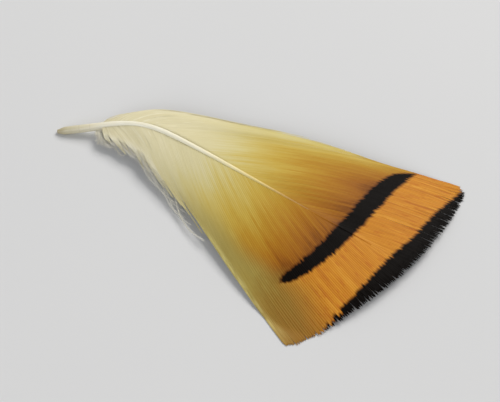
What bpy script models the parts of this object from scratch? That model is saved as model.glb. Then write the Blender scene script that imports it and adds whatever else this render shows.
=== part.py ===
"""Golden pheasant tippet feather: one barred orange-and-black neck feather, lying on a flat surface.

The feather grew as one piece, so it is one solid. It is arched, with its glossy outer side up, and it rests on the two
corners of its square tip and on the end of its quill. +X runs from the quill to the tip, +Z is up, and the surface it
lies on is z = 0. Lengths in the tables below are millimetres along the feather (s) and across it (w, + is the +Y side);
s = 0 is where the bare quill ends and the vane begins.
"""

import math

import bmesh
import bpy
from mathutils import Matrix, Vector

MM = 0.001

# ---- driving dimensions, millimetres ----------------------------------------------------------------------------
QUILL_LENGTH = 5.2        # bare quill, below the vane
TIP_S = 40.3              # from the foot of the vane to the tip, along the shaft
TIP_SKEW = 0.26           # the tip is cut obliquely: the +Y corner stands further out
TIP_CROWN = 0.0143        # and crowned: its edge falls back by this times the square of the way across
# the vane's width on each side of the shaft: the -Y half flares out towards the tip, the +Y half widens evenly
NEAR_WIDTH = ((0, 1.6), (4, 3.2), (8, 4.4), (13, 6.0), (18, 7.7), (24, 10.6), (29, 13.2), (33, 14.2), (36, 14.6), (39, 14.8), (43, 14.9))
FAR_WIDTH = ((0, 0.7), (4, 1.8), (8, 3.7), (13, 5.9), (18, 7.7), (24, 9.2), (29, 10.1), (33, 10.8), (36, 11.4), (39, 12.0), (43, 12.8))
VANE_THICKNESS = 0.44     # the sheet of barbs, from the ridges on top to the keels below
SHAFT_RADIUS = ((-5.2, 0.34), (-4.4, 0.45), (-1.5, 0.47), (1, 0.44), (8, 0.36), (15, 0.28), (22, 0.22), (30, 0.18), (35, 0.16))
SHAFT_END = 35.0          # where the shaft thins out between the middle barbs
BASE_TURN = 34.0          # degrees: the quill end points this far off the feather's middle part
TIP_TURN = 4.0            # degrees: the upper part turns a little the same way again
SLOPE = ((-5.2, 0.205), (0, 0.19), (5, 0.143), (10, 0.078), (15, 0.022), (20, -0.017), (25, -0.05), (30, -0.09), (35, -0.114), (43, -0.131))
CUPPING = ((0, 0.045), (3, 0.052), (12, 0.046), (18, 0.028), (24, 0.0175), (30, 0.013), (38, 0.0102), (43, 0.0095))
ROLL = 0.005              # turn of the tip about the shaft, so that both of its corners touch the surface
BAR_BACK, BAR_HALF = 8.3, 1.0   # first black bar: its middle lies this far before the tip's edge; half its width
REST_CUT = 0.08           # the tip's corners and the quill's end are flattened by this where they touch the surface
TIP_BAND = 2.2            # black at the very tip

ALONG, ACROSS = 34, 22    # faces of the vane's grid


# ---- the feather's own coordinates ------------------------------------------------------------------------------
def table(points, s):
    """Smooth reading of a table of (s, value)."""
    if s <= points[0][0]:
        return points[0][1]
    for k in range(len(points) - 1):
        (a, x), (b, y) = points[k], points[k + 1]
        if s <= b:
            before = points[max(k - 1, 0)]
            after = points[min(k + 2, len(points) - 1)]
            h, t = b - a, (s - a) / (b - a)
            m0 = (y - before[1]) / max(b - before[0], 1e-9)
            m1 = (after[1] - x) / max(after[0] - a, 1e-9)
            return ((2 * t**3 - 3 * t**2 + 1) * x + (t**3 - 2 * t**2 + t) * h * m0
                    + (-2 * t**3 + 3 * t**2) * y + (t**3 - t**2) * h * m1)
    return points[-1][1]


def step(a, b, s):
    t = min(max((s - a) / (b - a), 0.0), 1.0)
    return t * t * (3 - 2 * t)


def run_centreline():
    """The shaft's line: its points every DS, with the heading there, in millimetres."""
    made, x, y, s = [], 0.0, 0.0, -QUILL_LENGTH
    z = SHAFT_RADIUS[0][1] * math.cos(math.atan(SLOPE[0][1]))   # the lower rim of the quill's end touches the surface
    while s <= 43.0:
        heading = math.radians(BASE_TURN * (1 - step(0.0, 9.5, s)) + TIP_TURN * step(12.0, 40.0, s))
        made.append((x, y, z, heading))
        slope = table(SLOPE, s + DS / 2)
        flat = DS / math.sqrt(1 + slope * slope)
        x, y, z, s = x + flat * math.cos(heading), y + flat * math.sin(heading), z + flat * slope, s + DS
    return made


DS = 0.1
LINE = run_centreline()


def on_line(s):
    at = min(max((s + QUILL_LENGTH) / DS, 0.0), len(LINE) - 1.001)
    k = int(at)
    f = at - k
    return [a + (b - a) * f for a, b in zip(LINE[k], LINE[k + 1])]


def chord():
    """Turn and shift that lay the line from the quill's end to the tip along +X."""
    a, b = on_line(-QUILL_LENGTH), on_line(TIP_S)
    return math.atan2(b[1] - a[1], b[0] - a[0])


TURN = chord()


def place(s, w, lift=0.0):
    """The point at s along the feather and w across it, in millimetres, before it is centred."""
    x, y, z, heading = on_line(s)
    across = heading + math.pi / 2
    x, y = x + w * math.cos(across), y + w * math.sin(across)
    z = z - table(CUPPING, s) * w * w + ROLL * step(8.0, 38.0, s) * w + lift
    return Vector((x * math.cos(-TURN) - y * math.sin(-TURN), x * math.sin(-TURN) + y * math.cos(-TURN), z))


def half_width(s, q):
    """Half the vane's width at s, on the side that the sign of q gives."""
    return table(NEAR_WIDTH if q < 0 else FAR_WIDTH, s)


def tip_at(q):
    """How far along the tip's edge is, at the fraction q of the half width."""
    w = q * half_width(TIP_S, q)
    return TIP_S + TIP_SKEW * w - TIP_CROWN * w * w


# ---- scene ------------------------------------------------------------------------------------------------------
for old in list(bpy.data.objects):
    bpy.data.objects.remove(old)

shown = bpy.data.collections.new("tippet_feather")
helpers = bpy.data.collections.new("joined_shapes")
for c in (shown, helpers):
    bpy.context.scene.collection.children.link(c)


def material(name, colour, roughness):
    m = bpy.data.materials.new(name)
    m.use_nodes = True
    p = m.node_tree.nodes["Principled BSDF"]
    p.inputs["Base Color"].default_value = (*colour, 1)
    p.inputs["Roughness"].default_value = roughness
    p.inputs["Metallic"].default_value = 0.0
    m.diffuse_color = (*colour, 1)
    return m


CREAM = material("cream_vane", (0.66, 0.60, 0.38), 0.55)
GOLD = material("gold_vane", (0.47, 0.27, 0.06), 0.5)
ORANGE = material("orange_band", (0.66, 0.26, 0.05), 0.45)
BLACK = material("black_bar", (0.012, 0.008, 0.006), 0.45)
SHAFT = material("shaft", (0.80, 0.74, 0.50), 0.35)
DOWN = material("down", (0.62, 0.60, 0.52), 0.8)


def move_to(obj, collection):
    for c in list(obj.users_collection):
        c.objects.unlink(obj)
    collection.objects.link(obj)


def helper(obj):
    obj.hide_render = True
    obj.display_type = "WIRE"
    move_to(obj, helpers)
    return obj


# ---- vane: a flat grid bent to the feather's shape, then given its thickness --------------------------------------
bpy.ops.mesh.primitive_grid_add(x_subdivisions=ALONG, y_subdivisions=ACROSS, size=2.0)
feather = bpy.context.object
feather.name = feather.data.name = "feather"
move_to(feather, shown)
for m in (CREAM, GOLD, ORANGE, BLACK, SHAFT, DOWN):
    feather.data.materials.append(m)

VANE_FOOT = 0.6
places = {}
for v in feather.data.vertices:
    t, q = (v.co.x + 1) / 2, v.co.y
    t = t ** 0.92
    end = tip_at(q)
    s = VANE_FOOT + (end - VANE_FOOT) * t
    w = q * half_width(s, q)
    places[v.index] = (s, w, q, end)
    p = place(s, w)
    p.z = max(p.z, VANE_THICKNESS / 2)   # the barbs' tips flatten on the surface
    v.co = p * MM

for f in feather.data.polygons:
    s, w, q, end = (sum(places[i][k] for i in f.vertices) / len(f.vertices) for k in range(4))
    bar = end - BAR_BACK
    if end - s < TIP_BAND or abs(s - bar) < BAR_HALF:
        f.material_index = 3
    elif s > bar:
        f.material_index = 2
    elif s > 17:
        f.material_index = 1
    f.use_smooth = True

solid = feather.modifiers.new("thickness", "SOLIDIFY")
solid.thickness = VANE_THICKNESS * MM
solid.offset = 0.0
solid.use_even_offset = False


# ---- shaft and downy tufts: tapered tubes, made meshes and joined to the vane --------------------------------------
def tube(name, points, radii, resolution, mat):
    """A closed tube of changing radius through points, in millimetres, as a mesh object."""
    curve = bpy.data.curves.new(name, "CURVE")
    curve.dimensions = "3D"
    curve.bevel_depth = 1.0 * MM
    curve.bevel_resolution = resolution
    curve.use_fill_caps = True
    spline = curve.splines.new("POLY")
    spline.points.add(len(points) - 1)
    for at, p, r in zip(spline.points, points, radii):
        at.co = (*(p * MM), 1)
        at.radius = r
    made = bpy.data.objects.new(name + "_line", curve)
    bpy.context.scene.collection.objects.link(made)
    bpy.context.view_layer.update()
    mesh = bpy.data.meshes.new_from_object(made.evaluated_get(bpy.context.evaluated_depsgraph_get()))
    work = bmesh.new()
    work.from_mesh(mesh)
    bmesh.ops.remove_doubles(work, verts=work.verts, dist=1e-6)
    bmesh.ops.recalc_face_normals(work, faces=work.faces)
    for f in work.faces:
        f.smooth = True
    work.to_mesh(mesh)
    work.free()
    mesh.materials.clear()
    mesh.materials.append(mat)
    obj = bpy.data.objects.new(name, mesh)
    bpy.context.scene.collection.objects.link(obj)
    obj.matrix_world = made.matrix_world
    bpy.data.objects.remove(made)
    return helper(obj)


def join(obj):
    b = feather.modifiers.new(obj.name, "BOOLEAN")
    b.operation = "UNION"
    b.solver = "EXACT"
    b.material_mode = "TRANSFER"
    b.object = obj


stations = [-QUILL_LENGTH + (SHAFT_END + QUILL_LENGTH) * k / 27 for k in range(28)]
join(tube("shaft_rod", [place(s, 0.0) for s in stations], [table(SHAFT_RADIUS, s) for s in stations], 2, SHAFT))

# Each tuft: where it leaves the shaft, and the s, w and drop of its tip. Two hang under the shaft, where the small
# after-feather grows.
TUFTS = (
    (0.1, 3.2, 2.1, 0.6), (0.7, 5.4, 2.9, 0.5), (1.5, 7.8, 4.0, 0.35), (2.5, 10.1, 5.1, 0.2),
    (0.1, 3.0, -3.5, 0.6), (0.6, 5.2, -4.7, 0.5), (1.4, 7.5, -5.6, 0.4), (2.4, 9.9, -6.3, 0.3),
    (0.4, 7.6, 1.1, 0.9), (0.4, 6.8, -1.3, 0.9),
)
for n, (start, end, side, drop) in enumerate(TUFTS):
    points, radii = [], []
    for k in range(7):
        t = k / 6
        s = start + (end - start) * t
        w = side * math.sin(min(t * 1.15, 1.0) * math.pi / 2) * (0.55 + 0.45 * t)
        points.append(place(s, w, lift=-0.12 - drop * t ** 1.4))
        radii.append(0.92 * (1 - 0.7 * t ** 1.6) * (0.5 + 0.5 * min(t * 4, 1)))
    for p, r in zip(points, radii):
        p.z = max(p.z, r + 0.25)
    join(tube(f"tuft_{n + 1}", points, radii, 1, DOWN))

# ---- the flat spots that it rests on ------------------------------------------------------------------------------
bpy.context.view_layer.update()
seen = feather.evaluated_get(bpy.context.evaluated_depsgraph_get())
mesh = seen.to_mesh()
lowest = min(v.co.z for v in mesh.vertices)
seen.to_mesh_clear()
bpy.ops.mesh.primitive_cube_add(size=1.0)
surface = bpy.context.object
surface.name = "surface_below"
surface.data.transform(Matrix.Diagonal((80 * MM, 60 * MM, 4 * MM, 1)))
surface.data.transform(Matrix.Translation((20 * MM, 0, lowest + (REST_CUT - 2.0) * MM)))
helper(surface)
cut = feather.modifiers.new("flattened", "BOOLEAN")
cut.operation = "DIFFERENCE"
cut.solver = "EXACT"
cut.object = surface

# ---- centred on its own box, standing on z = 0 --------------------------------------------------------------------
bpy.context.view_layer.update()
seen = feather.evaluated_get(bpy.context.evaluated_depsgraph_get())
mesh = seen.to_mesh()
low = [min(v.co[k] for v in mesh.vertices) for k in range(3)]
high = [max(v.co[k] for v in mesh.vertices) for k in range(3)]
seen.to_mesh_clear()
shift = Vector((-(low[0] + high[0]) / 2, -(low[1] + high[1]) / 2, -low[2]))
feather.location = shift
for o in helpers.objects:
    o.location = shift   # the helpers stay where they meet the feather
bpy.context.view_layer.update()
print("feather shift mm", [round(c / MM, 4) for c in shift], "turn", round(TURN, 6), "low z", low[2] / MM)
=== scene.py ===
"""Golden pheasant tippet feather: its looks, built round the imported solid.

Every barb of the vane is its own closed strip, laid along the curve it grows on. The curves are drawn on the same bent
sheet as the solid's: s runs along the feather from the foot of the vane, w across it (+ is the +Y side), both in
millimetres. Colours come from named numbers on the meshes (how far before the bar, how deep in a bar, how near the
margin) which the node materials read.
"""

import math

import bpy
import numpy as np
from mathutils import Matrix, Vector


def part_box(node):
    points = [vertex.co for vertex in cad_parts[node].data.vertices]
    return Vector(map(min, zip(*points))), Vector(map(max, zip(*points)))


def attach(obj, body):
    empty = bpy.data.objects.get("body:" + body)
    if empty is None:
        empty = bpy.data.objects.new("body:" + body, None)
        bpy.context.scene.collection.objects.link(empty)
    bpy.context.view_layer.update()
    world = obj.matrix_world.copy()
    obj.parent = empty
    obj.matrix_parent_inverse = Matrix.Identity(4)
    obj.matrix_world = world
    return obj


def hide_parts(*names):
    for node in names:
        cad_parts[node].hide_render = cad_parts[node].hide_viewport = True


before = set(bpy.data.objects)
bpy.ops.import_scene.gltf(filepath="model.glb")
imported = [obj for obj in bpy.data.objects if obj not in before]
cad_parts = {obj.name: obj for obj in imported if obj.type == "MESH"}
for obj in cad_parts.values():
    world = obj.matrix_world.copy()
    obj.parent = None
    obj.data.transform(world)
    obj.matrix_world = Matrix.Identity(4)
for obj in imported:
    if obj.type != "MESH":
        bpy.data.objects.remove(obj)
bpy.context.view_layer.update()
MM = 0.001
TAU = 2 * math.pi

# ---- the feather's shape: the same numbers as the solid's ----------------------------------------------------------
QUILL_LENGTH = 5.2
TIP_S = 40.3
TIP_SKEW = 0.26
TIP_CROWN = 0.0143
NEAR_WIDTH = ((0, 1.6), (4, 3.2), (8, 4.4), (13, 6.0), (18, 7.7), (24, 10.6), (29, 13.2), (33, 14.2), (36, 14.6), (39, 14.8), (43, 14.9))
FAR_WIDTH = ((0, 0.7), (4, 1.8), (8, 3.7), (13, 5.9), (18, 7.7), (24, 9.2), (29, 10.1), (33, 10.8), (36, 11.4), (39, 12.0), (43, 12.8))
SHAFT_RADIUS = ((-5.2, 0.34), (-4.4, 0.45), (-1.5, 0.47), (1, 0.44), (8, 0.36), (15, 0.28), (22, 0.22), (30, 0.18), (35, 0.16))
BASE_TURN = 34.0
TIP_TURN = 4.0
SLOPE = ((-5.2, 0.205), (0, 0.19), (5, 0.143), (10, 0.078), (15, 0.022), (20, -0.017), (25, -0.05), (30, -0.09), (35, -0.114), (43, -0.131))
CUPPING = ((0, 0.045), (3, 0.052), (12, 0.046), (18, 0.028), (24, 0.0175), (30, 0.013), (38, 0.0102), (43, 0.0095))
ROLL = 0.005
SHIFT = np.array((-23.029, 0.6391, -0.0799))    # where the solid's own centring puts it
LOWEST = 0.10                                   # barbs that reach the surface lie on it


def table(points, s):
    """Smooth reading of a table of (s, value)."""
    xs, ys = np.array(points, float).T
    s = np.asarray(s, float)
    k = np.clip(np.searchsorted(xs, s, side="left") - 1, 0, len(xs) - 2)
    before, after = np.maximum(k - 1, 0), np.minimum(k + 2, len(xs) - 1)
    a, x, b, y = xs[k], ys[k], xs[k + 1], ys[k + 1]
    h = b - a
    t = np.clip((s - a) / h, 0, 1)
    m0 = (y - ys[before]) / np.maximum(b - xs[before], 1e-9)
    m1 = (ys[after] - x) / np.maximum(xs[after] - a, 1e-9)
    return ((2 * t**3 - 3 * t**2 + 1) * x + (t**3 - 2 * t**2 + t) * h * m0
            + (-2 * t**3 + 3 * t**2) * y + (t**3 - t**2) * h * m1)


def step(a, b, s):
    t = np.clip((np.asarray(s, float) - a) / (b - a), 0.0, 1.0)
    return t * t * (3 - 2 * t)


DS = 0.1


def run_centreline():
    made, x, y, s = [], 0.0, 0.0, -QUILL_LENGTH
    z = SHAFT_RADIUS[0][1] * math.cos(math.atan(SLOPE[0][1]))
    while s <= 43.0:
        heading = math.radians(BASE_TURN * (1 - float(step(0.0, 9.5, s))) + TIP_TURN * float(step(12.0, 40.0, s)))
        made.append((x, y, z, heading))
        slope = float(table(SLOPE, s + DS / 2))
        flat = DS / math.sqrt(1 + slope * slope)
        x, y, z, s = x + flat * math.cos(heading), y + flat * math.sin(heading), z + flat * slope, s + DS
    return np.array(made)


LINE = run_centreline()


def on_line(s):
    at = np.clip((np.asarray(s, float) + QUILL_LENGTH) / DS, 0.0, len(LINE) - 1.001)
    k = at.astype(int)
    f = (at - k)[..., None]
    return LINE[k] * (1 - f) + LINE[k + 1] * f


_a, _b = on_line(np.array(-QUILL_LENGTH)), on_line(np.array(TIP_S))
TURN = math.atan2(_b[1] - _a[1], _b[0] - _a[0])


def place(s, w, lift=0.0, floor=LOWEST):
    """Points at s along the feather and w across it, in millimetres, in the solid's place."""
    s, w = np.broadcast_arrays(np.asarray(s, float), np.asarray(w, float))
    at = on_line(s)
    across = at[..., 3] + math.pi / 2
    x, y = at[..., 0] + w * np.cos(across), at[..., 1] + w * np.sin(across)
    z = at[..., 2] - table(CUPPING, s) * w * w + ROLL * step(8.0, 38.0, s) * w + lift
    c, n = math.cos(-TURN), math.sin(-TURN)
    out = np.stack([x * c - y * n, x * n + y * c, z], -1) + SHIFT
    if floor is not None:
        low = out[..., 2] - floor
        out[..., 2] = floor + 0.5 * (low + np.sqrt(low * low + 0.0025))
    return out


def unit(v):
    return v / np.maximum(np.linalg.norm(v, axis=-1, keepdims=True), 1e-12)


def up_at(s, w):
    e = 0.05
    a = place(np.asarray(s) + e, w) - place(np.asarray(s) - e, w)
    b = place(s, np.asarray(w) + e) - place(s, np.asarray(w) - e)
    return unit(np.cross(a, b))


def half_width(s, side):
    return np.where(np.asarray(side) < 0, table(NEAR_WIDTH, s), table(FAR_WIDTH, s))


def edge_at(w):
    """How far along the tip's edge is, at w across."""
    w = np.asarray(w, float)
    return TIP_S + TIP_SKEW * w - TIP_CROWN * w * w


# ---- markings: how deep in a bar a place is, and how pale. Tables of (w, value); d is the way to the tip's edge -------
BAR_MIDDLE = ((-13, 7.9), (-9, 7.98), (-5, 8.0), (-3, 8.15), (0, 8.4), (4, 8.5), (6, 8.45), (8, 8.2), (9.2, 7.85), (10, 7.45),
              (10.6, 6.95), (11.2, 6.35), (13, 4.8))
BAR_HALF = ((-13, -1.5), (-9.3, -0.40), (-8.7, 0.25), (-8, 0.56), (-6, 0.74), (-4, 0.82), (0, 0.96), (5, 1.02), (7.5, 0.97),
            (9, 0.86), (10, 0.66), (11, 0.14), (12, -0.6), (13, -1.2))
TIP_BLACK = ((-15, -1.5), (-12, -0.5), (-11, 0.0), (-10.2, 0.38), (-9.2, 0.74), (-8.4, 1.02), (-7.4, 1.28), (-6.2, 1.55),
             (-4.6, 1.86), (-2.5, 2.18), (0, 2.34), (3, 2.12), (6, 1.94), (8, 1.68), (9, 1.44), (10, 1.17), (11, 0.85), (12, 0.45), (13, 0.1))
MARGIN = ((4, -3.4), (8, -4.1), (14, -5.2), (18.8, -6.1), (23.4, -7.9), (27, -8.4), (28.8, -8.8), (30.6, -9.7), (32.2, -10.9), (33.7, -12.1), (37, -14.0))


def ink(d, w):
    """How far inside a black bar, in millimetres: negative outside."""
    return np.maximum(table(BAR_HALF, w) - np.abs(d - table(BAR_MIDDLE, w)), table(TIP_BLACK, w) - d)


def ripeness(s, w, d):
    """Where the vane's colour stands between the foot's cream (0) and the brown before the first bar (31)."""
    before = d - table(BAR_MIDDLE, w) - 1.05
    at = s + (31.0 - before - s) * step(19.0, 30.0, s)
    q = w / half_width(s, w)
    at = at - 5.0 * step(0.62, 1.0, q) * step(14, 22, s) + 1.5 * step(-0.25, -0.75, q) * (1 - step(14, 22, s))
    return np.where(before < -1.05, 31.0 + before * 0, at)


# ---- gathering strips and needles into meshes ----------------------------------------------------------------------
class Gathered:
    """Vertices, faces, numbers per vertex and a map of rows, for one mesh."""

    def __init__(self, *names):
        self.v, self.f, self.uv, self.sharp, self.count = [], [], [], [], 0
        self.numbers = {n: [] for n in names}

    def add(self, verts, faces, uvs, numbers, sharp=None):
        """verts (n, 3) in mm; faces as an (m, 3 or 4) array; uvs (m, 3 or 4, 2)."""
        self.v.append(verts)
        self.f.append(faces + self.count)
        self.uv.append(uvs)
        self.sharp.append(np.zeros(len(verts), bool) if sharp is None else sharp)
        for n, held in self.numbers.items():
            held.append(np.broadcast_to(np.asarray(numbers.get(n, 0.0), float), (len(verts),)))
        self.count += len(verts)

    def make(self, name, material, flat=False):
        verts = np.concatenate(self.v) * MM
        loops = np.concatenate([f.reshape(-1) for f in self.f]).astype(np.int32)
        sizes = np.concatenate([np.full(len(f), f.shape[1]) for f in self.f]).astype(np.int32)
        starts = np.concatenate([[0], np.cumsum(sizes)[:-1]]).astype(np.int32)
        mesh = bpy.data.meshes.new(name)
        mesh.vertices.add(len(verts))
        mesh.vertices.foreach_set("co", verts.astype(np.float32).ravel())
        mesh.loops.add(len(loops))
        mesh.loops.foreach_set("vertex_index", loops)
        mesh.polygons.add(len(sizes))
        mesh.polygons.foreach_set("loop_start", starts)
        mesh.polygons.foreach_set("loop_total", sizes)
        mesh.update(calc_edges=True)
        mesh.polygons.foreach_set("use_smooth", np.full(len(sizes), not flat))
        rows = mesh.uv_layers.new(name="OFBake")
        rows.uv.foreach_set("vector", np.concatenate([u.reshape(-1, 2) for u in self.uv]).astype(np.float32).ravel())
        for n, held in self.numbers.items():
            layer = mesh.attributes.new(n, "FLOAT", "POINT")
            layer.data.foreach_set("value", np.concatenate(held).astype(np.float32))
        sharp = np.concatenate(self.sharp)
        if sharp.any():
            ends = np.empty(len(mesh.edges) * 2, np.int32)
            mesh.edges.foreach_get("vertices", ends)
            ends = ends.reshape(-1, 2)
            layer = mesh.attributes.new("sharp_edge", "BOOLEAN", "EDGE")
            layer.data.foreach_set("value", sharp[ends].all(1))
        mesh.validate()
        mesh.materials.append(material)
        obj = bpy.data.objects.new(name, mesh)
        bpy.context.scene.collection.objects.link(obj)
        return obj


# across and up, as shares of the half width and of the thickness; the strip's two thin edges come first and fifth
SECTION = np.array([(-1.0, -0.12), (-0.46, 0.20), (0.0, 0.72), (0.46, 0.20), (1.0, -0.12), (0.0, -0.75)])
EDGE_POINTS = np.array([True, False, False, False, True, False])


def strip(into, centre, across, up, half, high, numbers, row, section=SECTION, edges=EDGE_POINTS, span=(0.004, 0.996)):
    """One closed strip through the points of centre. row is its place (low, high) in the map."""
    k, m = len(centre), len(section)
    verts = (centre[:, None] + across[:, None] * (half[:, None] * section[:, 0])[..., None]
             + up[:, None] * (high[:, None] * section[:, 1])[..., None])
    i, j = np.meshgrid(np.arange(k - 1), np.arange(m), indexing="ij")
    n = (j + 1) % m
    faces = np.stack([i * m + j, i * m + n, (i + 1) * m + n, (i + 1) * m + j], -1).reshape(-1, 4)
    way = np.concatenate([[0], np.cumsum(np.linalg.norm(np.diff(centre, axis=0), axis=1))])
    u = span[0] + (span[1] - span[0]) * way / way[-1]
    round_ = np.concatenate([section, section[:1]]) * (1.0, 0.35)
    c = np.concatenate([[0], np.cumsum(np.linalg.norm(np.diff(round_, axis=0), axis=1))])
    c = row[0] + (row[1] - row[0]) * c / c[-1]
    uvs = np.stack([np.stack([u[i], c[j]], -1), np.stack([u[i], c[j + 1]], -1),
                    np.stack([u[i + 1], c[j + 1]], -1), np.stack([u[i + 1], c[j]], -1)], -2).reshape(-1, 4, 2)
    numbers = {n_: (np.repeat(x, m) if np.ndim(x) == 1 else np.asarray(x).reshape(-1)) if np.ndim(x) else x
               for n_, x in numbers.items()}
    base = into.count
    into.add(verts.reshape(-1, 3), faces, uvs, {**numbers, "across": np.tile(section[:, 0], k)}, np.tile(edges, k))
    gap = (row[1] - row[0]) * 0.04
    for first, at, turn in ((0, u[0], -1), ((k - 1) * m, u[-1], 1)):
        ring = np.arange(m)[::-1] if turn < 0 else np.arange(m)
        ends = np.stack([ring[[0] * (m - 2)], ring[1:-1], ring[2:]], -1)
        flat = np.stack([at + 0.0015 * section[:, 1], row[1] + gap * (1 + section[:, 0] * 0.9)], -1)
        into.v.append(np.zeros((0, 3)))
        into.f.append(ends + base + first)
        into.uv.append(flat[ends])


def needles(into, base, along, bend, length, radius, numbers, cells, segments=2):
    """Closed three-sided hairs, all at once. cells is (first, total): their places in a square map."""
    n = len(base)
    if not n:
        return
    t = np.arange(segments + 1) / segments
    path = base[:, None] + along[:, None] * (length[:, None] * t)[..., None] + bend[:, None] * (length[:, None] * t**2)[..., None]
    tangent = unit(along[:, None] + bend[:, None] * (2 * t)[None, :, None])
    side = unit(np.cross(tangent, np.array((0.13, -0.21, 0.97))))
    top = np.cross(side, tangent)
    ring = np.arange(3) * TAU / 3 + math.pi / 2
    r = radius[:, None] * (1 - t[None] * 0.75)
    body = (path[:, :-1, None] + (side[:, :-1, None] * np.cos(ring)[:, None] + top[:, :-1, None] * np.sin(ring)[:, None])
            * r[:, :-1, None, None]).reshape(n, -1, 3)
    verts = np.concatenate([body, path[:, -1:]], 1)
    per = verts.shape[1]
    quads, tris, qc, tc = [], [], [], []
    for k in range(segments - 1):
        for j in range(3):
            m = (j + 1) % 3
            quads.append((k * 3 + j, k * 3 + m, (k + 1) * 3 + m, (k + 1) * 3 + j))
            u0, u1 = t[k], t[k + 1]
            qc.append(((u0, j / 3), (u0, (j + 1) / 3), (u1, (j + 1) / 3), (u1, j / 3)))
    k = segments - 1
    for j in range(3):
        m = (j + 1) % 3
        tris.append((k * 3 + j, k * 3 + m, per - 1))
        tc.append(((t[k], j / 3), (t[k], (j + 1) / 3), (1.0, (j + 0.5) / 3)))
    tris.append((2, 1, 0))
    tc.append(((0.0, 0.0), (0.0, 1.0), (-0.06, 0.5)))
    across = int(math.ceil(math.sqrt(cells[1])))
    cell = np.arange(cells[0], cells[0] + n)
    corner = np.stack([(cell % across) / across, (cell // across) / across], -1)
    inner = lambda c: corner[:, None, None] + (0.12 + 0.78 * np.array(c))[None] / across
    start = into.count
    offset = (np.arange(n) * per)[:, None, None]
    flat = {k_: np.repeat(x, per) if np.ndim(x) else x for k_, x in numbers.items()}
    faces_q = (np.array(quads)[None] + offset).reshape(-1, 4) if quads else np.zeros((0, 4), int)
    into.add(verts.reshape(-1, 3), faces_q, inner(qc).reshape(-1, 4, 2) if quads else np.zeros((0, 4, 2)), flat)
    into.v.append(np.zeros((0, 3)))
    into.f.append((np.array(tris)[None] + offset).reshape(-1, 3) + start)
    into.uv.append(inner(tc).reshape(-1, 3, 2))


# ---- materials -----------------------------------------------------------------------------------------------------
def rgb(r, g, b):
    """A linear colour from 0 to 255 display values."""
    return tuple(((c / 255 + 0.055) / 1.055) ** 2.4 if c > 10 else c / 255 / 12.92 for c in (r, g, b))


class Nodes:
    """Short names for building a material's nodes."""

    def __init__(self, name, roughness, **plain):
        self.mat = bpy.data.materials.new(name)
        self.mat.use_nodes = True
        self.tree = self.mat.node_tree
        self.shader = self.tree.nodes["Principled BSDF"]
        self.shader.inputs["Roughness"].default_value = roughness
        for k, x in plain.items():
            self.shader.inputs[k.replace("_", " ")].default_value = x

    def node(self, kind, **settings):
        n = self.tree.nodes.new(kind)
        for k, x in settings.items():
            setattr(n, k, x)
        return n

    def put(self, socket, value):
        if isinstance(value, bpy.types.NodeSocket):
            self.tree.links.new(value, socket)
        elif value is not None:
            socket.default_value = (*value, 1.0) if socket.type == "RGBA" and len(value) == 3 else value

    def number(self, name):
        return self.node("ShaderNodeAttribute", attribute_name=name).outputs["Fac"]

    def maths(self, how, a, b=None, c=None, clamp=False):
        n = self.node("ShaderNodeMath", operation=how, use_clamp=clamp)
        for s, x in zip(n.inputs, (a, b, c)):
            self.put(s, x)
        return n.outputs[0]

    def ranged(self, x, a, b, c=0.0, d=1.0, smooth=True):
        n = self.node("ShaderNodeMapRange", interpolation_type="SMOOTHSTEP" if smooth else "LINEAR")
        self.put(n.inputs["Value"], x)
        for k, v in zip(("From Min", "From Max", "To Min", "To Max"), (a, b, c, d)):
            self.put(n.inputs[k], v)
        return n.outputs[0]

    def mix(self, fac, a, b, how="MIX"):
        n = self.node("ShaderNodeMix", data_type="RGBA", blend_type=how)
        self.put(n.inputs["Factor"], fac)
        self.put(n.inputs[6], a)
        self.put(n.inputs[7], b)
        return n.outputs[2]

    def ramp(self, x, *stops):
        n = self.node("ShaderNodeValToRGB")
        e = n.color_ramp.elements
        while len(e) < len(stops):
            e.new(0.5)
        for at, (p, c) in zip(e, stops):
            at.position = p
            at.color = (*c, 1.0)
        self.put(n.inputs[0], x)
        return n.outputs[0]

    def vector(self, x, y, z=0.0):
        n = self.node("ShaderNodeCombineXYZ")
        for s, v in zip(n.inputs, (x, y, z)):
            self.put(s, v)
        return n.outputs[0]

    def noise(self, where, scale, detail=2.0, rough=0.5):
        n = self.node("ShaderNodeTexNoise", noise_dimensions="3D")
        self.put(n.inputs["Vector"], where)
        n.inputs["Scale"].default_value = scale
        n.inputs["Detail"].default_value = detail
        n.inputs["Roughness"].default_value = rough
        return n.outputs["Fac"]

    def bump(self, height, strength, distance):
        n = self.node("ShaderNodeBump")
        n.inputs["Strength"].default_value = strength
        n.inputs["Distance"].default_value = distance
        self.put(n.inputs["Height"], height)
        self.put(self.shader.inputs["Normal"], n.outputs[0])

    def colour(self, value):
        self.put(self.shader.inputs["Base Color"], value)


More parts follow.
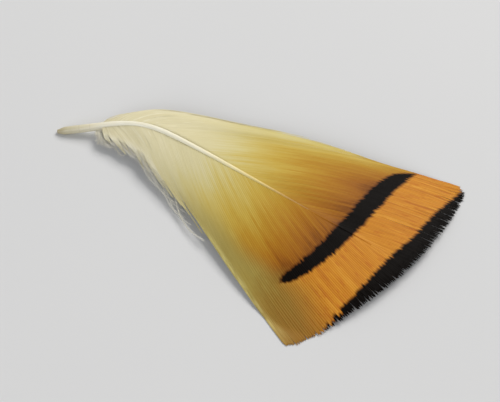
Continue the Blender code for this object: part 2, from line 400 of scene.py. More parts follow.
def vane_material():
    """Barbs: cream at the foot through khaki and gold to rust, black bars, orange between them, pale margins."""
    m = Nodes("barbs", 0.42, Sheen_Weight=0.02, Sheen_Roughness=0.35, Specular_IOR_Level=0.06)
    at, band, ink_, pale, rim, along = (m.number(n) for n in ("at", "band", "ink", "pale", "rim", "along"))
    barb, fan, length, across = (m.number(n) for n in ("barb", "fan", "length", "across"))
    # streaks run along the barbs: broad ones over a few barbs, and each barb's own
    streak = m.noise(m.vector(m.maths("MULTIPLY", fan, 0.9), m.maths("MULTIPLY", length, 0.11)), 1.0, 3.0, 0.62)
    fine = m.noise(m.vector(m.maths("MULTIPLY", barb, 91.0), m.maths("MULTIPLY", length, 0.55)), 1.0, 2.0)
    wide = m.noise(m.vector(m.maths("MULTIPLY", fan, 0.16), m.maths("MULTIPLY", length, 0.06), 3.0), 1.0, 1.0)
    off = lambda x, k: m.maths("MULTIPLY", m.maths("SUBTRACT", x, 0.5), k)
    here = m.maths("ADD", m.maths("ADD", at, off(streak, 5.5)), m.maths("ADD", off(wide, 5.0), off(fine, 1.6)))
    stops = ((0.0, (206, 198, 164)), (2.5, (222, 214, 178)), (9.0, (221, 213, 173)), (13.0, (216, 207, 161)), (15.5, (210, 198, 138)),
             (18.0, (204, 184, 104)), (21.0, (196, 166, 72)), (24.0, (184, 141, 46)), (27.0, (171, 116, 30)), (29.5, (156, 96, 24)),
             (31.0, (130, 75, 19)))
    body = m.ramp(m.ranged(here, 0.0, 31.0, smooth=False), *((s / 31.0, rgb(*c)) for s, c in stops))
    # silvery and greyer streaks in the foot's cream
    foot = m.ranged(at, 15.0, 6.0)
    body = m.mix(m.maths("MULTIPLY", foot, m.ranged(streak, 0.48, 0.68, 0.0, 0.55)), body, rgb(238, 233, 208))
    body = m.mix(m.maths("MULTIPLY", foot, m.ranged(streak, 0.46, 0.28, 0.0, 0.55)), body, rgb(196, 188, 150))
    body = m.mix(m.maths("MULTIPLY", foot, m.ranged(fine, 0.56, 0.72, 0.0, 0.35)), body, rgb(246, 243, 226))
    # the orange band: golden filaments, some paler, some redder
    glow = m.ramp(streak, (0.30, rgb(182, 106, 28)), (0.44, rgb(199, 127, 34)), (0.56, rgb(208, 138, 39)), (0.70, rgb(219, 155, 56)))
    glow = m.mix(m.ranged(fine, 0.52, 0.72, 0.0, 0.50), glow, rgb(182, 92, 26))
    colour = m.mix(m.ranged(m.maths("ADD", band, off(fine, 0.5)), -0.35, 0.35), body, glow)
    # margins: barbs that carry no bars, olive and khaki, paler at the very edge: partly the outer barbs' own paler
    # tips, partly a painted highlight
    margin = m.ramp(m.ranged(m.maths("ADD", along, m.maths("ADD", off(fine, 4.0), off(streak, 4.0))), 0.0, 40.0, smooth=False),
                    (0.00, rgb(222, 214, 178)), (0.30, rgb(208, 199, 154)), (0.42, rgb(184, 169, 104)), (0.54, rgb(164, 147, 80)),
                    (0.64, rgb(164, 144, 72)), (0.73, rgb(148, 115, 46)), (0.85, rgb(150, 106, 40)), (1.00, rgb(136, 92, 34)))
    colour = m.mix(pale, colour, margin)
    # rim: a painted highlight along the outer edges, and tuft barbs and foot hairs painted paler to make up for the
    # shade they stand in
    colour = m.mix(m.maths("MULTIPLY", rim, m.ranged(fine, 0.35, 0.6, 0.35, 1.0)), colour,
                   m.mix(m.ranged(along, 9.0, 18.0), rgb(242, 238, 216), rgb(216, 204, 132)))
    # a little darker where each barb meets the next, a little lighter on its ridge: painted shade in the grooves and a
    # painted highlight on the ridge, partly also each barb's own darker barbules and paler ramus
    edge = m.ranged(m.maths("ABSOLUTE", across), 0.55, 1.0)
    colour = m.mix(m.maths("MULTIPLY", edge, m.ranged(at, 8.0, 30.0, 0.04, 0.22)), colour, rgb(150, 96, 44), "MULTIPLY")
    ridge_highlight = m.ranged(m.maths("ABSOLUTE", across), 0.40, 0.0)
    colour = m.mix(m.maths("MULTIPLY", ridge_highlight, m.ranged(band, -1.0, 1.0, 0.05, 0.12)), colour, rgb(250, 214, 140))
    # black bars with a brown fringe
    depth = m.maths("ADD", ink_, off(fine, 0.42))
    colour = m.mix(m.ranged(depth, -0.42, -0.02, 0.0, 0.8), colour, rgb(88, 46, 16))
    colour = m.mix(m.ranged(depth, -0.14, 0.12), colour, rgb(8, 4, 2))
    m.colour(colour)
    m.bump(m.noise(m.vector(m.maths("ADD", m.maths("MULTIPLY", barb, 60.0), m.maths("MULTIPLY", across, 1.6)),
                            m.maths("MULTIPLY", length, 0.5)), 1.0, 2.0), 0.10, 0.00002)
    m.put(m.shader.inputs["Roughness"], m.maths("ADD", m.ranged(depth, -0.1, 0.2, 0.36, 0.50), off(fine, 0.16)))
    return m.mat


def shaft_material():
    """Pale horn: milky in the quill, bright cream along the vane (partly a painted highlight), the vane's own gold and
    brown where it thins out.
    """
    m = Nodes("pale_horn", 0.26, Specular_IOR_Level=0.85)
    along, round_ = m.number("along"), m.number("round")
    grain = m.noise(m.vector(m.maths("MULTIPLY", round_, 9.0), m.maths("MULTIPLY", along, 0.5)), 1.0, 3.0, 0.6)
    rings = m.noise(m.vector(0.0, m.maths("MULTIPLY", along, 2.6)), 1.0, 2.0, 0.7)
    # the near-white cream from about 1.5 to 17 mm is partly the horn's own colour and partly a painted highlight
    stops = ((-5.2, (182, 170, 132)), (-4.0, (206, 198, 166)), (-1.5, (230, 223, 196)), (1.5, (250, 246, 226)), (9.0, (253, 249, 226)),
             (13.0, (252, 246, 216)), (17.0, (244, 232, 178)), (20.5, (226, 204, 122)), (23.5, (196, 158, 70)), (26.5, (172, 120, 38)),
             (30.0, (136, 82, 22)))
    base = m.ramp(m.ranged(along, -5.2, 30.0, smooth=False), *(((s + 5.2) / 35.2, rgb(*c)) for s, c in stops))
    base = m.mix(m.ranged(grain, 0.35, 0.75, 0.0, 0.25), base, rgb(204, 188, 140), "MULTIPLY")
    quill = m.ranged(along, -0.6, -1.6)
    base = m.mix(m.maths("MULTIPLY", quill, m.ranged(rings, 0.50, 0.72, 0.0, 0.32)), base, rgb(176, 160, 118))
    m.colour(base)
    m.bump(grain, 0.25, 0.00004)
    m.put(m.shader.inputs["Roughness"], m.maths("ADD", m.ranged(grain, 0.2, 0.8, 0.31, 0.42), m.ranged(along, 16.0, 27.0, 0.0, 0.30)))
    return m.mat


def down_material():
    """Loose down: off-white, greyer inside, matt."""
    m = Nodes("loose_down", 0.72, Sheen_Weight=0.3, Sheen_Roughness=0.5, Specular_IOR_Level=0.3)
    barb, out = m.number("barb"), m.number("out")
    shade = m.noise(m.vector(m.maths("MULTIPLY", barb, 23.0), m.maths("MULTIPLY", out, 2.0)), 1.0, 2.0)
    base = m.ramp(out, (0.0, rgb(236, 231, 212)), (0.45, rgb(246, 243, 230)), (1.0, rgb(252, 250, 242)))
    base = m.mix(m.ranged(shade, 0.45, 0.75, 0.0, 0.35), base, rgb(220, 212, 186))
    m.colour(base)
    return m.mat


BARBS, HORN, DOWN = vane_material(), shaft_material(), down_material()

# ---- barbs ---------------------------------------------------------------------------------------------------------
COUNT = 122                  # barbs on each side
CORNER = {-1: 0.42, 1: 0.40}   # barbs before this share end along the side, those after it at the square tip


def starts(u):
    return 0.1 + 34.9 * (0.5 * u + 0.5 * u * u)


def tips(u, side):
    """Where the barb ends, as s and w without its sign."""
    u = np.asarray(u, float)
    corner = CORNER[side]
    wide = half_width(TIP_S, side)
    corner_s = edge_at(side * wide)
    first = 0.2 if side < 0 else 1.0
    s_side = first + (corner_s - first) * np.clip(u / corner, 0, 1) ** 1.05
    q = 1 - 1.018 * np.clip((u - corner) / (1 - corner), 0, 1)    # the last ones meet and overlap in the middle
    s_end = edge_at(side * q * wide)
    s = np.where(u < corner, s_side, s_end) - 0.7 * np.exp(-np.abs(u - corner) / 0.016)
    return s, np.where(u < corner, half_width(s_side, side), q * wide)


def barb_curve(u, t, side):
    """(s, w) of the barb u at the share t of its length, w without its sign."""
    u, t = np.broadcast_arrays(np.asarray(u, float), np.asarray(t, float))
    s0, w0 = starts(u), 0.50 * table(SHAFT_RADIUS, starts(u)) * (1 - 0.95 * step(0.3, 0.8, u)) - 0.04 * step(0.55, 0.9, u)
    s2, w2 = tips(u, side)
    ds, dw = s2 - s0, w2 - w0
    bulge = (0.06 if side < 0 else 0.10) * (1 - 0.3 * step(0.4, 0.9, u)) * (1 - step(0.80, 1.0, u))
    s1, w1 = s0 + 0.5 * ds - bulge * dw * 1.6, w0 + 0.5 * dw + bulge * ds
    return ((1 - t) ** 2 * s0 + 2 * t * (1 - t) * s1 + t * t * s2,
            (1 - t) ** 2 * w0 + 2 * t * (1 - t) * w1 + t * t * w2)


# pointed tufts at the foot: the last barb of each, how far it closes, how far it stands out and its lean, in mm
TUFTS = {-1: ((2, 0.35, 0.30, 0.0), (5, 0.86, 1.55, 0.05), (7, 0.70, 0.75, 0.0), (12, 0.84, 1.75, -0.05), (14, 0.75, 0.70, 0.0),
              (18, 0.78, 1.15, -0.10), (21, 0.70, 0.60, 0.0)), 1: ()}


def waves(rng, count, high):
    """A smooth function of two numbers, about -1 to 1, from a few slanting waves."""
    fu, ft = rng.uniform(-high[0], high[0], count), rng.uniform(-high[1], high[1], count)
    ph, size = rng.uniform(0, TAU, count), rng.uniform(0.5, 1.0, count)
    size /= np.sqrt((size**2).sum() / 2) * 1.6
    return lambda u, t: sum(a * np.sin(TAU * (x * u + y * t) + p) for a, x, y, p in zip(size, fu, ft, ph))


NUMBERS = ("at", "band", "ink", "pale", "rim", "along", "barb", "fan", "length", "across")


def numbers_at(s, w, side):
    """The named numbers at places on the vane, w with its sign."""
    d = edge_at(w) - s
    q = np.abs(w) / half_width(s, side)
    if side < 0:
        into = w - table(MARGIN, s)
        pale = step(0, 1, (1.4 + 3.6 * step(27, 33, s) - into) / (2.7 + 3.3 * step(27, 33, s))) * step(8, 14, s)
        # rim on the near side: a painted highlight along the edge, partly the outer barbs' own paler tips
        rim = 0.75 * step(0.94, 1.0, q) * step(10, 16, s) * step(34, 28, s)
    else:
        pale = np.zeros_like(s)
        # rim on the far side: a painted highlight along the edge, partly the outer barbs' own paler tips
        rim = 0.65 * step(0.86, 0.98, q) * (0.25 + 0.75 * step(12, 19, s)) * step(33, 24, s)
    return d, {"at": ripeness(s, w, d), "band": table(BAR_MIDDLE, w) - d, "ink": ink(d, w), "pale": pale, "rim": rim, "along": s}


def strands(k, side):
    """Barbs that stand far apart, at the foot and at the tip's corner, part into finer ones."""
    to_corner = abs(k + 0.5 - CORNER[side] * COUNT)
    if k < (7 if side < 0 else 0) or to_corner < 2:
        return 3
    return 2 if k < (23 if side < 0 else 12) or to_corner < 5 else 1


def build_vane(side, seed):
    rng = np.random.default_rng(seed)
    made = Gathered(*NUMBERS)
    sway, lift_wave = waves(rng, 7, (9, 1.3)), waves(rng, 6, (4, 1.4))
    corner = CORNER[side]
    # splits: where, how deep (share of length) and how wide they open, in mm
    if side < 0:
        splits = [(0.235, 0.66, 0.26), (0.325, 0.74, 0.14), (0.60, 0.93, 0.06), (0.80, 0.92, 0.06)]
    else:
        splits = [(0.22, 0.74, 0.12), (0.54, 0.93, 0.06), (0.74, 0.92, 0.06)]
    # clumps: neighbours lean together towards their tips
    lead, pull, sweep, droop, reach, clump = np.zeros(COUNT), np.zeros(COUNT), np.zeros(COUNT), np.zeros(COUNT), np.zeros(COUNT), 0
    for last, pulled, far_out, swept in TUFTS[side]:
        lead[clump:last] = (clump + 0.62 * (last - clump)) / COUNT
        pull[clump:last], reach[clump:last], sweep[clump:last] = pulled, far_out, swept
        droop[clump:last] = rng.uniform(-0.06, 0.10)
        clump = last
    tufts = clump
    while clump < COUNT:
        loose = clump / COUNT < (0.23 if side < 0 else 0.07)
        end = min(clump + int(rng.integers(4, 7) if loose else rng.integers(2, 6)), COUNT)
        lead[clump:end] = ((clump + end - 1) / 2 + 0.5 + rng.uniform(-0.4, 0.4)) / COUNT
        pull[clump:end] = rng.uniform(0.30, 0.48) if loose else rng.uniform(0.05, 0.20)
        sweep[clump:end] = rng.normal(0, 0.05) if loose else 0
        clump = end
    # none leans over the corner
    from_corner = np.arange(COUNT) + 0.5 - corner * COUNT
    pull[(np.sign(from_corner) != np.sign(lead - corner)) | (np.abs(from_corner) < 1)] = 0
    ends = []
    spare = np.random.default_rng(seed + 90)
    for k, part, parts in [(k, part, n) for k in range(COUNT) for n in [strands(k, side)] for part in range(n)]:
        draw = spare if part else rng
        u = (k + (part + 0.5) / parts) / COUNT
        tuft, loose = k < tufts, pull[k] > 0.28
        s2, w2 = tips(u, side)
        s0 = starts(u)
        total = math.hypot(float(s2) - s0, float(w2))
        near = 11.0 / total if total > 14 else 0.5
        few, many = (20, 36) if total > 14 else (14, 16)
        t = np.concatenate([np.linspace(0, 1 - near, few, endpoint=False), np.linspace(1 - near, 1, many)])
        if u > corner:
            short = float(np.clip(draw.normal(0.0, 0.07), -0.2, 0.12)) - (0.25 if draw.random() < 0.03 else 0)
        else:
            short = draw.normal(-0.05, 0.10)
            if tuft:      # the middle barbs of each tuft are the longest
                short = reach[k] * (1 + draw.normal(0, 0.08)) - 0.26 * abs(u - lead[k]) ** 1.3 * COUNT ** 1.3
        t = t * (1 + short / total)
        e = 0.5 / COUNT / parts
        close = pull[k] * (step(2.6, 0.2, (t[-1] - t) * total) if tuft else step(0.70 if loose else 0.88, 1.0, t))
        own = u + (lead[k] - u) * close
        s, w = barb_curve(own, t, side)
        beside = [barb_curve(np.clip(own + n, 0.0, 1.0), t, side) for n in (-2 * e, 2 * e)]
        late = step(0.25, 1.0, t)
        # side movement, in mm across the feather
        move = (0.06 * sway(np.full_like(t, u), t) + draw.normal(0, 0.012)) * late * (1 - step(0.9, 1.0, u))
        move = move + draw.normal(0, 0.02) * step(0.85, 1.0, t) + sweep[k] * step(0.4, 1.0, t)
        for at, deep, wide in splits:
            move = move - np.sign(u - at) * wide * step(deep, 1.0, t) * math.exp(-abs(u - at) / 0.03)
        ds, dw = np.gradient(s), np.gradient(w)
        flow = np.hypot(ds, dw)
        gap = np.maximum(*(np.abs((s_ - s) * dw - (w_ - w) * ds) / flow for s_, w_ in beside))    # to the further neighbour
        w = w + move
        lift = 0.05 * lift_wave(np.full_like(t, u), t) * (1 - 0.85 * step(0.80, 1.0, u)) + draw.normal(0, 0.003) + draw.normal(0, 0.012) * step(0.8, 1.0, t)
        lift = lift - droop[k] * step(0.5, 1.0, t)
        if tuft:
            lift = lift + draw.normal(0, 0.03) * step(0.5, 1.0, t)
        rise = 0.62 * table(SHAFT_RADIUS, s) * np.exp(-t * total / 2.0) * (1 - 0.85 * step(18, 27, s))
        rise = rise - 0.02 * step(24, 30, s0) * step(0.7, 0.0, t * total)
        centre = place(s, side * w, lift + rise)
        up = up_at(s, side * w)
        tangent = unit(np.gradient(centre, axis=0))
        across = unit(np.cross(up, tangent))
        tilt = math.radians(draw.normal(2.4, 0.8)) * (1 if side > 0 else -1)
        up_t = unit(up * math.cos(tilt) + across * math.sin(tilt))
        across = unit(np.cross(up_t, tangent))
        left = (1 - t / t[-1]) * total
        at_corner = math.exp(-((u - corner) / 0.025) ** 2)
        if side < 0:
            half = 0.5 * np.minimum(gap, 0.56 - 0.26 * at_corner) * (1.20 + 0.25 * at_corner)
        else:
            half = 0.5 * np.minimum(gap, 0.56) * (1.25 + 0.40 * at_corner)
        taper = 0.5 if u > corner else min(4.0, 0.45 * total) if tuft else min(1.6, 0.35 * total)
        half = half * (0.40 + 0.60 * step(0.0, taper, left)) * (0.6 + 0.4 * step(0, 0.5, t * total))
        half = half * (1 - (0.60 * close if tuft else 0))
        half = np.maximum(half, 0.018 if tuft else 0.024)
        half = np.maximum(half, 0.11 * step(0.35, 0.75, u) * step(5.0, 1.5, t * total))    # nothing shows between their feet
        high = np.minimum(0.026, 0.012 + 0.11 * half) * (0.5 + 0.5 * step(0.0, 1.5, left))
        high = high * (1 - 0.7 * step(0.45, 0.8, u) * step(4.0, 0.5, t * total))
        # each corner of the strip reads the markings at its own place, so a bar's edge runs on from barb to barb
        off = half[:, None] * SECTION[:, 0]
        own_s = s[:, None] - side * (dw / flow)[:, None] * off + draw.normal(0, 0.06)
        own_w = side * w[:, None] + (ds / flow)[:, None] * off
        _, numbers = numbers_at(own_s, own_w, side)
        fleck = draw.normal(0, 0.30)    # the last dashes of black at the near end differ from barb to barb
        numbers["ink"] = numbers["ink"] + draw.normal(0, 0.03) + fleck * step(-7.5, -9.0, own_w) * step(3.0, 2.0, edge_at(own_w) - own_s)
        if tuft:
            # tuft barbs painted paler towards their ends, to make up for the shade they stand in
            numbers["rim"] = np.maximum(numbers["rim"], 0.9 * step(0.35, 0.85, t)[:, None])
        low = k + 0.06 + 0.80 * part / parts
        row = (low / (COUNT + 1), (low + 0.80 / parts - (0.04 if parts > 1 else 0)) / (COUNT + 1))
        b = draw.random()
        strip(made, centre, across, up_t, half, high, {**numbers, "barb": b, "fan": u * COUNT, "length": t * total}, row)
        ends.append((centre, across, up_t, tangent, s, side * w, t * total, b, u, tuft, fleck, half))
    if side > 0:
        add_ridge(made)
    return made, ends


def add_ridge(made):
    """Where the shaft has thinned out: a last fine ridge over the feet of the barbs, coloured as they are."""
    s = np.linspace(24.0, 38.8, 90)
    centre = place(s, 0.0, 0.03 - 0.02 * step(34.0, 38.8, s))
    up = up_at(s, 0.0)
    tangent = unit(np.gradient(centre, axis=0))
    across = unit(np.cross(up, tangent))
    half = 0.05 + 0.10 * step(38.0, 24.0, s)
    off = half[:, None] * SECTION[:, 0]
    _, numbers = numbers_at(s[:, None] + 0 * off, off, 1)
    strip(made, centre, across, np.cross(tangent, across), half, 0.035 - 0.02 * step(32.0, 38.8, s),
          {**numbers, "barb": 0.37, "fan": COUNT - 0.5, "length": s}, ((COUNT + 0.06) / (COUNT + 1), (COUNT + 0.86) / (COUNT + 1)))


def add_barbules(made, ends, side, seed):
    """Loose barbules: short fine hairs along the ends of the barbs, where nothing holds them together."""
    rng = np.random.default_rng(seed)
    held = {n: [] for n in ("c", "a", "b", "l", "r", "s", "w", "len", "id", "fan", "fleck")}
    for centre, across, up, tangent, s, w, way, b, u, tuft, fleck, half in ends:
        total = way[-1]
        if not tuft and u < CORNER[side] + (0.10 if side < 0 else 0.0):
            continue
        reach = min(3.0, 0.5 * total) if tuft else 1.2
        every = 0.075
        n = int(reach / every)
        for hand in (-1, 1):
            x = total - reach * (np.arange(n) + rng.uniform(0, 1, n)) / n
            pick = lambda a: np.stack([np.interp(x, way, a[:, k]) for k in range(a.shape[1])], -1) if a.ndim > 1 else np.interp(x, way, a)
            c, ac, uu, tn = pick(centre), unit(pick(across)), unit(pick(up)), unit(pick(tangent))
            turn = np.radians(rng.normal(19 if tuft else 26, 6, n))[:, None]
            if tuft:      # they grow out of its two edges
                c = c + ac * (hand * 0.85 * pick(half))[:, None]
            held["c"].append(c)
            held["a"].append(unit(tn * np.cos(turn) + ac * hand * np.sin(turn) + uu * rng.normal(0, 0.10, n)[:, None]))
            held["b"].append(tn * rng.uniform(0.0, 0.3, n)[:, None] + uu * rng.normal(0.0, 0.08, n)[:, None])
            size = (0.30 if tuft else 0.26) * rng.uniform(0.5, 1.15, n) * (0.55 + 0.45 * step(0, 0.7, total - x))
            held["l"].append(size)
            held["r"].append(np.full(n, 0.0095 if tuft else 0.012))
            held["s"].append(pick(s))
            held["w"].append(pick(w))
            held["len"].append(x)
            held["id"].append(np.full(n, b))
            held["fan"].append(np.full(n, u * COUNT))
            held["fleck"].append(np.full(n, fleck))
    g = {n: np.concatenate(x) for n, x in held.items()}
    tip_z = g["c"][:, 2] + (g["a"] + g["b"])[:, 2] * g["l"]
    _, numbers = numbers_at(g["s"], g["w"], side)
    keep = (tip_z > 0.03) & ((g["s"] < 20) | (numbers["ink"] > 0.10) | (edge_at(g["w"]) - g["s"] < 0.30))
    g, numbers = {n: x[keep] for n, x in g.items()}, {n: x[keep] for n, x in numbers.items()}
    numbers["ink"] = numbers["ink"] + g["fleck"] * step(-7.5, -9.0, g["w"]) * step(3.0, 2.0, edge_at(g["w"]) - g["s"])
    # hairs at the foot painted near white, to make up for the shade they cast on each other
    numbers["rim"] = np.maximum(numbers["rim"], np.where(g["s"] < 16, 1.0, 0.0))
    numbers["at"] = np.where(g["s"] < 16, np.minimum(numbers["at"], 4.0), numbers["at"])
    hairs = Gathered(*NUMBERS)
    needles(hairs, g["c"], g["a"], g["b"], g["l"], g["r"], {**numbers, "barb": g["id"], "fan": g["fan"], "length": g["len"], "across": 0.5},
            (0, len(g["c"])), segments=2)
    merge(made, hairs, (0.0, 1.0), (0.0, 1.0))
    return made


def merge(made, other, span_u, span_v):
    """Adds another gathering, its map moved into the given part of the square."""
    shift = made.count
    made.f += [f + shift for f in other.f]
    made.v += other.v
    for u in other.uv:
        u = np.asarray(u, float).copy()
        u[..., 0] = span_u[0] + (span_u[1] - span_u[0]) * u[..., 0]
        u[..., 1] = span_v[0] + (span_v[1] - span_v[0]) * u[..., 1]
        made.uv.append(u)
    made.sharp += other.sharp
    for n in made.numbers:
        made.numbers[n] += other.numbers[n]
    made.count += other.count


def vane_side(name, side, seed):
    made, ends = build_vane(side, seed)
    for k, u in enumerate(made.uv):     # the strips take the left nine tenths of the map, the hairs the rest
        made.uv[k] = u * (0.90, 1.0)
    hairs = Gathered(*NUMBERS)
    add_barbules(hairs, ends, side, seed + 40)
    merge(made, hairs, (0.905, 0.998), (0.0, 1.0))
    return made.make(name, BARBS)


left = vane_side("vane_barbs_near", -1, 11)
right = vane_side("vane_barbs_far", 1, 12)


# ---- shaft ---------------------------------------------------------------------------------------------------------
def build_shaft():
    made = Gathered("along", "round", "across")
    s = np.concatenate([np.linspace(-5.2, 0, 30), np.linspace(0.25, 30.0, 120)])
    m = 16
    r = table(SHAFT_RADIUS, s) * (1 - 0.20 * step(16.0, 25.0, s)) * (1 - 0.80 * step(23.0, 30.0, s))
    r = r * (0.72 + 0.28 * step(-5.2, -4.3, s))
    centre = place(s, 0.0, lift=0.05 * step(-1, 2, s) + 0.04 * step(4, 14, s) - 0.02 * step(14, 20, s) - 0.07 * step(20, 28, s), floor=None)
    up = up_at(s, 0.0)
    tangent = unit(np.gradient(centre, axis=0))
    across = unit(np.cross(up, tangent))
    angle = np.arange(m) * TAU / m
    vane = step(-0.8, 1.5, s)[:, None]
    below = np.exp(-((angle - 1.5 * math.pi) / 0.55) ** 2)[None]
    radius = r[:, None] * (1 - 0.32 * vane * below)
    a = radius * np.cos(angle)[None] * (1 - 0.10 * vane)
    b = radius * np.sin(angle)[None] * (1 + 0.08 * vane - 0.40 * step(12, 26, s)[:, None])
    verts = centre[:, None] + across[:, None] * a[..., None] + up[:, None] * b[..., None]
    # the quill's end: a rim, and the small hole that it once grew from
    rim = [centre[0] + (verts[0] - centre[0]) * k + tangent[0] * t for k, t in ((0.93, -0.05), (0.62, -0.06), (0.42, 0.02), (0.34, 0.22))]
    rings = np.concatenate([np.array(rim[::-1]), verts])
    rings[..., 2] = np.maximum(rings[..., 2], 0.003)    # flat where it lies on the surface
    along = np.concatenate([[-5.2] * 4, s])
    k = len(rings)
    i, j = np.meshgrid(np.arange(k - 1), np.arange(m), indexing="ij")
    n = (j + 1) % m
    faces = np.stack([i * m + j, i * m + n, (i + 1) * m + n, (i + 1) * m + j], -1).reshape(-1, 4)
    way = np.concatenate([[0], np.cumsum(np.linalg.norm(np.diff(rings.mean(1), axis=0), axis=1) + 0.05)])
    u = 0.01 + 0.96 * way / way[-1]
    v = 0.02 + 0.9 * np.arange(m + 1) / m
    uvs = np.stack([np.stack([u[i], v[j]], -1), np.stack([u[i], v[j + 1]], -1),
                    np.stack([u[i + 1], v[j + 1]], -1), np.stack([u[i + 1], v[j]], -1)], -2).reshape(-1, 4, 2)
    made.add(rings.reshape(-1, 3), faces, uvs,
             {"along": np.repeat(along, m), "round": np.tile(np.abs(np.cos(angle / 2)), k)})
    for first, turn, at in ((0, -1, 0.2), ((k - 1) * m, 1, 0.6)):
        ring = np.arange(m)[::-1] if turn < 0 else np.arange(m)
        ends = np.stack([ring[[0] * (m - 2)], ring[1:-1], ring[2:]], -1)
        flat = np.stack([at + 0.02 * np.cos(angle), 0.96 + 0.015 * np.sin(angle)], -1)
        made.v.append(np.zeros((0, 3)))
        made.f.append(ends + first)
        made.uv.append(flat[ends])
    return made


shaft = build_shaft().make("quill_and_shaft", HORN)


# ---- down at the foot ------------------------------------------------------------------------------------------------
ROUND = np.array([(math.cos(a), math.sin(a)) for a in np.arange(5) * TAU / 5 + math.pi / 2])


def build_down(seed):
    rng = np.random.default_rng(seed)
    made = Gathered("barb", "out", "across")
    # tufts: where each leaves the shaft, and the s and w of its tip. Their barbs run together to a point
    tufts = ((-0.40, 0.1, -0.1, -2.3), (-0.30, 0.4, 0.8, -2.6), (-0.1, 1.0, 2.1, -3.0), (0.3, 1.8, 3.7, -3.4), (0.9, 2.7, 5.6, -3.9),
             (1.7, 3.7, 7.6, -4.3), (2.6, 4.9, 9.6, -4.9), (3.7, 6.2, 11.4, -5.4),
             (-0.35, 0.5, 1.6, 0.7), (-0.1, 1.2, 3.2, 1.1), (0.5, 2.2, 4.9, 1.6), (1.4, 3.4, 6.8, 2.2))
    rami = []
    for first, last, tip_s, tip_w in tufts:
        n = (15 if tip_s < 1.5 else 11) if tip_w < 0 else 5
        tip_s, tip_w = tip_s + rng.normal(0, 0.15), tip_w * (1 + rng.normal(0, 0.05))
        for k in range(n):
            x = (k + rng.uniform(0.2, 0.8)) / n
            s0 = first + (last - first) * x
            shorter = 1 - 0.42 * abs(x - 0.5) ** 1.2 - rng.uniform(0, 0.14)
            rami.append((math.copysign(1, tip_w), s0, (tip_s - s0 + rng.normal(0, 0.30)) * shorter,
                         (abs(tip_w) - 0.2 + rng.normal(0, 0.20)) * shorter,
                         rng.uniform(-0.15, 0.30) if tip_w < 0 else rng.uniform(0.25, 0.6)))
    # loose strands beside the near edge: (s at the foot, w, s at the tip, w)
    for k in range(9):
        s0 = 4.2 + 0.75 * k + rng.uniform(-0.3, 0.3)
        end = s0 + 6.2 + 0.35 * k + rng.uniform(-0.8, 0.8)
        rami.append((-1, s0, end - s0, float(table(NEAR_WIDTH, end)) + rng.uniform(-0.1, 0.75), rng.uniform(-0.02, 0.35)))
    # a few under the shaft, where the small after-feather grows
    for k in range(8):
        rami.append((rng.choice((-1, 1)), rng.uniform(-0.2, 0.8), rng.uniform(3.0, 6.0), rng.uniform(0.4, 1.6), rng.uniform(0.5, 0.9)))
    for n, (side, s0, reach, out, drop) in enumerate(rami):
        k = 18
        t = np.linspace(0, 1, k)
        s = s0 - 0.30 * np.sin(math.pi * np.minimum(t * 2.2, 1.0)) * (1 - s0 / 5) + reach * t ** 1.4
        w = side * (0.2 + out * np.sin(np.minimum(t * 1.1, 1.0) * math.pi / 2) * (0.78 + 0.22 * t))
        w = w + 0.07 * np.sin(t * rng.uniform(3, 8) + rng.uniform(0, TAU)) * t
        lift = -0.11 - drop * t ** 1.3 + 0.08 * np.sin(t * rng.uniform(3, 7) + rng.uniform(0, TAU)) * t
        centre = place(s, w, lift)
        up = up_at(s, w)
        tangent = unit(np.gradient(centre, axis=0))
        across = unit(np.cross(up, tangent))
        up = np.cross(tangent, across)
        r = 0.026 * (1 - 0.75 * t) + 0.007
        row = (0.90 + 0.09 * n / len(rami), 0.90 + 0.09 * (n + 0.7) / len(rami))
        b = rng.random()
        strip(made, centre, across, up, r, r, {"barb": b, "out": 0.25 * t}, row, section=ROUND, edges=np.zeros(5, bool))
        rami[n] = (centre, up, across, tangent, b, reach)
    # barbules: fine hairs on both sides of each
    bases, ways, bends, lengths, radii, ids, outs = [], [], [], [], [], [], []
    for centre, up, across, tangent, b, reach in rami:
        way = np.concatenate([[0], np.cumsum(np.linalg.norm(np.diff(centre, axis=0), axis=1))])
        n = int(way[-1] / 0.098)
        for hand in (-1, 1):
            at = (np.arange(n) + rng.uniform(0, 1, n)) / n
            x = at * (len(way) - 1.001)
            i = x.astype(int)
            f = (x - i)[:, None]
            pick = lambda a: a[i] * (1 - f) + a[i + 1] * f
            c, tn, ac, uu = pick(centre), unit(pick(tangent)), unit(pick(across)), unit(pick(up))
            angle = np.radians(rng.normal(36, 9, n))[:, None]
            rise = rng.normal(0, 0.20, n)[:, None]
            direction = unit(tn * np.cos(angle) + ac * hand * np.sin(angle) + uu * rise)
            bend = tn * rng.uniform(0.05, 0.45, n)[:, None] + uu * rng.normal(0, 0.22, n)[:, None]
            length = (0.66 * (1 - 0.50 * at) * rng.uniform(0.6, 1.15, n)) * (0.4 + 0.6 * step(0, 0.12, at))
            bases.append(c)
            ways.append(direction)
            bends.append(bend)
            lengths.append(length)
            radii.append(np.full(n, 0.0100) * (1 - 0.3 * at))
            ids.append(np.full(n, b) + rng.uniform(-0.04, 0.04, n))
            outs.append(0.35 + 0.6 * at)
    base = np.concatenate(bases)
    tipz = base[:, 2] + (np.concatenate(ways)[:, 2] + np.concatenate(bends)[:, 2]) * np.concatenate(lengths)
    keep = tipz > 0.02
    pickall = lambda a: np.concatenate(a)[keep]
    spread = Gathered("barb", "out", "across")
    needles(spread, pickall(bases), pickall(ways), pickall(bends), pickall(lengths), pickall(radii),
            {"barb": pickall(ids), "out": pickall(outs)}, (0, int(keep.sum())), segments=2)
    merge(made, spread, (0.0, 1.0), (0.0, 0.88))
    return made


down = build_down(31).make("down", DOWN)

# ---- pieces, floor, light, camera --------------------------------------------------------------------------------
for piece, slot in ((left, "vane"), (right, "vane"), (shaft, "shaft"), (down, "down")):
    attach(piece, "root")
    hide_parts("feather")

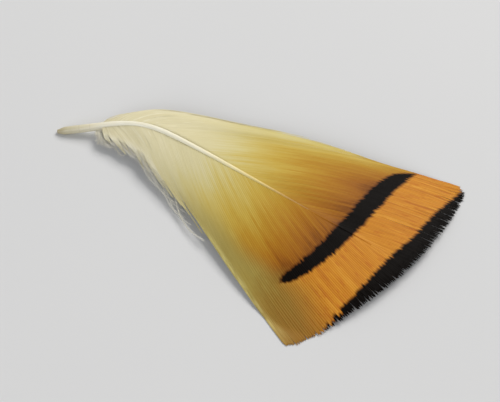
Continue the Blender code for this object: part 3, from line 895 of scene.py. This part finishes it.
bpy.ops.mesh.primitive_plane_add(size=6.0)
floor = bpy.context.object
floor.name = "floor"
f = Nodes("pale_surface", 0.85, Specular_IOR_Level=0.2)
cloud = f.noise(f.node("ShaderNodeTexCoord").outputs["Object"], 9.0, 3.0)
f.colour(f.mix(cloud, (0.66, 0.67, 0.68), (0.72, 0.725, 0.73)))
# far from the object, where the lamps don't reach, the floor stays as pale as near it, and runs up into a low pale wall
lamps = f.node("ShaderNodeVectorMath", operation="DISTANCE")
f.put(lamps.inputs[0], f.node("ShaderNodeTexCoord").outputs["Object"])
lamps.inputs[1].default_value = (0.03, 0.16, 0.0)
f.shader.inputs["Emission Color"].default_value = (0.97, 0.98, 1.0, 1.0)
f.put(f.shader.inputs["Emission Strength"], f.ranged(lamps.outputs["Value"], 0.16, 0.80, 0.0, 0.42))
floor.data.materials.append(f.mat)
bpy.ops.mesh.primitive_cylinder_add(vertices=96, radius=2.10, depth=0.34, end_fill_type="NOTHING", location=(0, 0, 0.16))
wall = bpy.context.object
wall.name = "low_wall"
g = Nodes("pale_wall", 0.9, Specular_IOR_Level=0.0)
g.shader.inputs["Base Color"].default_value = (0.3, 0.3, 0.3, 1.0)
g.shader.inputs["Emission Color"].default_value = (0.97, 0.98, 1.0, 1.0)
g.shader.inputs["Emission Strength"].default_value = 0.53
wall.data.materials.append(g.mat)

AZIMUTH, ELEVATION = 24.4, 60.0
low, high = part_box("feather")
middle = (low + high) / 2
az, el = math.radians(AZIMUTH), math.radians(ELEVATION)
forward = Vector((-math.sin(az) * math.cos(el), math.cos(az) * math.cos(el), -math.sin(el)))
right_way = Vector((math.cos(az), math.sin(az), 0))
upward = right_way.cross(forward)
camera = bpy.data.objects.new("camera", bpy.data.cameras.new("camera"))
bpy.context.scene.collection.objects.link(camera)
camera.data.lens = 150
camera.data.sensor_width = 36
camera.data.clip_start = 0.01
aim = middle + right_way * 0.0016 + upward * 0.0
camera.location = aim - forward * 0.236
camera.rotation_euler = forward.to_track_quat("-Z", "Y").to_euler()
bpy.context.scene.camera = camera


def lamp(name, where, size, watts, colour=(1, 1, 1)):
    data = bpy.data.lights.new(name, "AREA")
    data.shape = "RECTANGLE"
    data.size, data.size_y = size
    data.energy = watts
    data.color = colour
    obj = bpy.data.objects.new(name, data)
    obj.location = where
    obj.rotation_euler = (middle - Vector(where)).to_track_quat("-Z", "Y").to_euler()
    bpy.context.scene.collection.objects.link(obj)
    return obj


ahead = Vector((-math.sin(az), math.cos(az), 0))
lamp("key", middle + right_way * 0.20 + ahead * 0.26 + Vector((0, 0, 0.36)), (0.28, 0.28), 1.95, (1.0, 0.97, 0.93))
lamp("fill", middle - right_way * 0.24 - ahead * 0.30 + Vector((0, 0, 0.26)), (0.34, 0.34), 0.72, (0.97, 0.98, 1.0))

world = bpy.data.worlds.new("studio")
bpy.context.scene.world = world
world.use_nodes = True
world.node_tree.nodes["Background"].inputs[0].default_value = (0.97, 0.98, 1.0, 1)
world.node_tree.nodes["Background"].inputs[1].default_value = 0.27
bpy.context.scene.view_settings.view_transform = "Standard"
bpy.context.scene.view_settings.look = "None"
